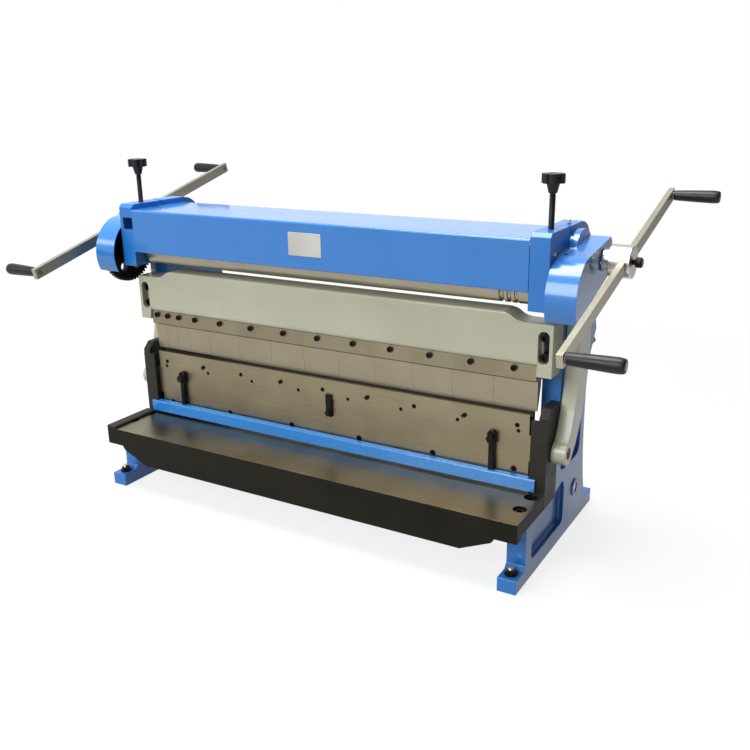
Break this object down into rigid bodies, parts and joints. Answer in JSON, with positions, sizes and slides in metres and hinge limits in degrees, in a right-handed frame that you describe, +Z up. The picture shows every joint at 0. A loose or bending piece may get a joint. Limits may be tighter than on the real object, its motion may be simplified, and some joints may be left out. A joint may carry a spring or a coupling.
{
  "type": "combination sheet metal machine",
  "caption": "Hand-cranked sheet metal machine on two cast side frames: table shear with hold-down, press brake with segmented fingers and V-die, and slip rolls under a cover.",
  "frame": {"origin": "middle of the bounding box on the floor, under the crank bars' reach", "axes": "+X along the work to the operator's right, +Y from the front of the machine to the rear, +Z up"},
  "size_m": [1.4932, 0.7718, 0.79],
  "materials": {
    "blue_enamel": "glossy sprayed enamel over cast iron and sheet",
    "cream_enamel": "satin sprayed enamel over cast iron",
    "dark_casting": "dark oiled casting with machined faces",
    "ground_steel": "ground tool steel, oiled",
    "bright_steel": "turned or drawn bright steel",
    "hub_chrome": "polished turned hub",
    "gear_steel": "machined gear steel with grease",
    "black_oxide": "black oxide fasteners",
    "black_plastic": "moulded black plastic",
    "bronze": "bronze bearing block",
    "bare_plate": "bare plate with nothing on it"
  },
  "bodies": {
    "base": {"left_side_frame": "blue_enamel", "right_side_frame": "blue_enamel", "shear_table": "dark_casting", "table_fence": "dark_casting", "lower_shear_blade": "ground_steel", "table_bolts": "black_oxide", "left_ram_guide": "dark_casting", "right_ram_guide": "dark_casting", "upper_beam": "cream_enamel", "beam_bolts": "black_oxide", "clamp_strip": "ground_steel", "clamp_strip_bolts": "black_oxide", "narrow_fingers": "ground_steel", "wide_fingers": "ground_steel", "left_gear_cover": "blue_enamel", "right_gear_cover": "blue_enamel", "roll_cover": "blue_enamel", "cover_plate": "bare_plate", "foot_bolts": "black_oxide", "rear_tie_rod": "bright_steel"},
    "ram_body": {"ram": "ground_steel", "v_die": "ground_steel", "v_die_screws": "black_oxide", "upper_shear_blade": "ground_steel", "upper_blade_screws": "black_oxide", "die_clip": "black_oxide", "hanger_bolts": "black_oxide", "ram_pins": "bright_steel"},
    "hold_down": {"hold_down_bar": "blue_enamel", "hold_down_hangers": "black_oxide"},
    "crank": {"crank_shaft": "bright_steel", "left_hub": "hub_chrome", "right_hub": "hub_chrome", "left_crank_bar": "bright_steel", "right_crank_bar": "bright_steel", "hub_clamp_screws": "black_oxide", "drive_pinion": "gear_steel", "grip_spindles": "bright_steel"},
    "left_arm_body": {"left_arm": "cream_enamel"},
    "right_arm_body": {"right_arm": "cream_enamel"},
    "left_front_grip_body": {"left_front_grip": "black_plastic"},
    "left_rear_grip_body": {"left_rear_grip": "black_plastic"},
    "right_front_grip_body": {"right_front_grip": "black_plastic"},
    "right_rear_grip_body": {"right_rear_grip": "black_plastic"},
    "lower_roll_body": {"lower_roll": "bright_steel", "roll_drive_gear": "gear_steel", "lower_pinch_gear": "gear_steel"},
    "upper_carriage": {"upper_roll_blocks": "bronze"},
    "upper_roll_body": {"upper_roll": "bright_steel", "upper_pinch_gear": "gear_steel"},
    "left_knob": {"left_knob_screw": "black_plastic"},
    "right_knob": {"right_knob_screw": "black_plastic"},
    "rear_carriage": {"rear_roll_blocks": "bronze"},
    "rear_roll_body": {"rear_roll": "bright_steel"},
    "left_rear_screw_body": {"left_rear_screw": "black_oxide"},
    "right_rear_screw_body": {"right_rear_screw": "black_oxide"}
  },
  "joints": [
    {"name": "crank_turn", "type": "hinge", "parent": "base", "child": "crank", "pos_m": [0, -0.01623, 0.624], "axis": [1, 0, 0], "range_deg": [-33.75, 33.75]},
    {"name": "ram_slide", "type": "slide", "parent": "base", "child": "ram_body", "axis": [0, 0, 1], "range_m": [-0.01005, 0.01005]},
    {"name": "left_arm_swing", "type": "hinge", "parent": "crank", "child": "left_arm_body", "pos_m": [-0.548, 0.00177, 0.624], "axis": [1, 0, 0], "range_deg": [-34, 34]},
    {"name": "right_arm_swing", "type": "hinge", "parent": "crank", "child": "right_arm_body", "pos_m": [0.548, 0.00177, 0.624], "axis": [1, 0, 0], "range_deg": [-34, 34]},
    {"name": "hold_down_slide", "type": "slide", "parent": "base", "child": "hold_down", "axis": [0, 0, 1], "range_m": [-0.00405, 0.00405]},
    {"name": "lower_roll_turn", "type": "hinge", "parent": "base", "child": "lower_roll_body", "pos_m": [0, -0.09273, 0.566], "axis": [1, 0, 0], "range_deg": [-9.6, 9.6]},
    {"name": "upper_roll_turn", "type": "hinge", "parent": "upper_carriage", "child": "upper_roll_body", "pos_m": [0, -0.09273, 0.617], "axis": [1, 0, 0], "range_deg": [-9.6, 9.6]},
    {"name": "upper_roll_lift", "type": "slide", "parent": "base", "child": "upper_carriage", "axis": [0, 0, 1], "range_m": [0, 0.0035]},
    {"name": "left_knob_turn", "type": "hinge", "parent": "upper_carriage", "child": "left_knob", "pos_m": [-0.52, -0.09273, 0.7], "axis": [0, 0, 1], "range_deg": [-1, 721]},
    {"name": "right_knob_turn", "type": "hinge", "parent": "upper_carriage", "child": "right_knob", "pos_m": [0.52, -0.09273, 0.7], "axis": [0, 0, 1], "range_deg": [-1, 721]},
    {"name": "rear_roll_lift", "type": "slide", "parent": "base", "child": "rear_carriage", "axis": [0, -0.8192, 0.5736], "range_m": [0, 0.024]},
    {"name": "left_rear_screw_turn", "type": "hinge", "parent": "rear_carriage", "child": "left_rear_screw_body", "pos_m": [-0.52, -0.01123, 0.555], "axis": [0, -0.8192, 0.5736], "range_deg": [-1, 4938.14]},
    {"name": "right_rear_screw_turn", "type": "hinge", "parent": "rear_carriage", "child": "right_rear_screw_body", "pos_m": [0.52, -0.01123, 0.555], "axis": [0, -0.8192, 0.5736], "range_deg": [-1, 4938.14]},
    {"name": "rear_roll_turn", "type": "hinge", "parent": "rear_carriage", "child": "rear_roll_body", "pos_m": [0, -0.01123, 0.555], "axis": [1, 0, 0], "continuous": true},
    {"name": "left_front_grip_turn", "type": "hinge", "parent": "crank", "child": "left_front_grip_body", "pos_m": [-0.69, -0.31808, 0.54312], "axis": [1, 0, 0], "continuous": true},
    {"name": "left_rear_grip_turn", "type": "hinge", "parent": "crank", "child": "left_rear_grip_body", "pos_m": [-0.69, 0.37063, 0.72766], "axis": [1, 0, 0], "continuous": true},
    {"name": "right_front_grip_turn", "type": "hinge", "parent": "crank", "child": "right_front_grip_body", "pos_m": [0.69, -0.37063, 0.52904], "axis": [1, 0, 0], "continuous": true},
    {"name": "right_rear_grip_turn", "type": "hinge", "parent": "crank", "child": "right_rear_grip_body", "pos_m": [0.69, 0.31808, 0.71357], "axis": [1, 0, 0], "continuous": true}
  ],
  "couplings": [
    {"joint": "ram_slide", "follows": "crank_turn", "m_per_rad": 0.016977},
    {"joint": "left_arm_swing", "follows": "crank_turn", "ratio": -1},
    {"joint": "right_arm_swing", "follows": "crank_turn", "ratio": -1},
    {"joint": "hold_down_slide", "follows": "crank_turn", "m_per_rad": 0.0067908},
    {"joint": "lower_roll_turn", "follows": "crank_turn", "ratio": -0.28},
    {"joint": "upper_roll_turn", "follows": "crank_turn", "ratio": 0.28},
    {"joint": "left_knob_turn", "follows": "upper_roll_lift", "rad_per_m": 3590.4},
    {"joint": "right_knob_turn", "follows": "upper_roll_lift", "rad_per_m": 3590.4},
    {"joint": "left_rear_screw_turn", "follows": "rear_roll_lift", "rad_per_m": 3590.4},
    {"joint": "right_rear_screw_turn", "follows": "rear_roll_lift", "rad_per_m": 3590.4}
  ]
}
